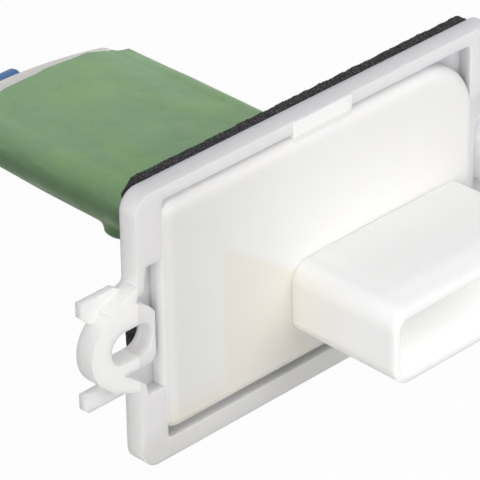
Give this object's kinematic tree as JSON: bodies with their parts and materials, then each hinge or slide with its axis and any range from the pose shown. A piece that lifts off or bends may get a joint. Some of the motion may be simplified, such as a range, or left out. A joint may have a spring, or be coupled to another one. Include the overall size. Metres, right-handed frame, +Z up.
{
  "type": "blower motor resistor",
  "caption": "Moulded flange with a four-way plug socket and slotted screw tabs in front, a foam gasket behind and a silicone-coated ceramic resistor bar that hangs in the air duct.",
  "frame": {"origin": "midway between the two screw holes, on the rear face of the screw tabs that meets the duct wall", "axes": "+X along the flange towards its plug end, +Y back into the air duct along the ceramic bar, +Z up across the flange"},
  "size_m": [0.1026, 0.1028, 0.05],
  "materials": {
    "nylon": "natural white nylon moulding, slightly translucent, satin",
    "foam": "black open-grained foam",
    "ceramic": "unglazed off-white fired ceramic, matte",
    "silicone": "hand-dipped green silicone coating, satin, slightly wavy",
    "resistance_wire": "oxidised resistance wire",
    "tinned_metal": "tin-plated brass sheet, satin",
    "nickel_wire": "plain drawn nickel wire",
    "fuse_case": "plain drawn metal case",
    "sleeve": "blue insulating sleeve, satin"
  },
  "bodies": {
    "root": {"base_housing": "nylon", "foam_gasket": "foam", "ceramic_former": "ceramic", "silicone_coating": "silicone", "winding_1": "resistance_wire", "winding_2": "resistance_wire", "winding_3": "resistance_wire", "tap_band_1": "tinned_metal", "tap_band_2": "tinned_metal", "tap_band_3": "tinned_metal", "tap_band_4": "tinned_metal", "terminal_1": "tinned_metal", "terminal_2": "tinned_metal", "terminal_3": "tinned_metal", "terminal_4": "tinned_metal", "tap_lead_2": "nickel_wire", "tap_lead_3": "nickel_wire", "tap_lead_4": "nickel_wire", "fuse_lead_in": "nickel_wire", "fuse_lead_out": "nickel_wire", "thermal_fuse": "fuse_case", "fuse_sleeve": "sleeve"}
  },
  "joints": []
}
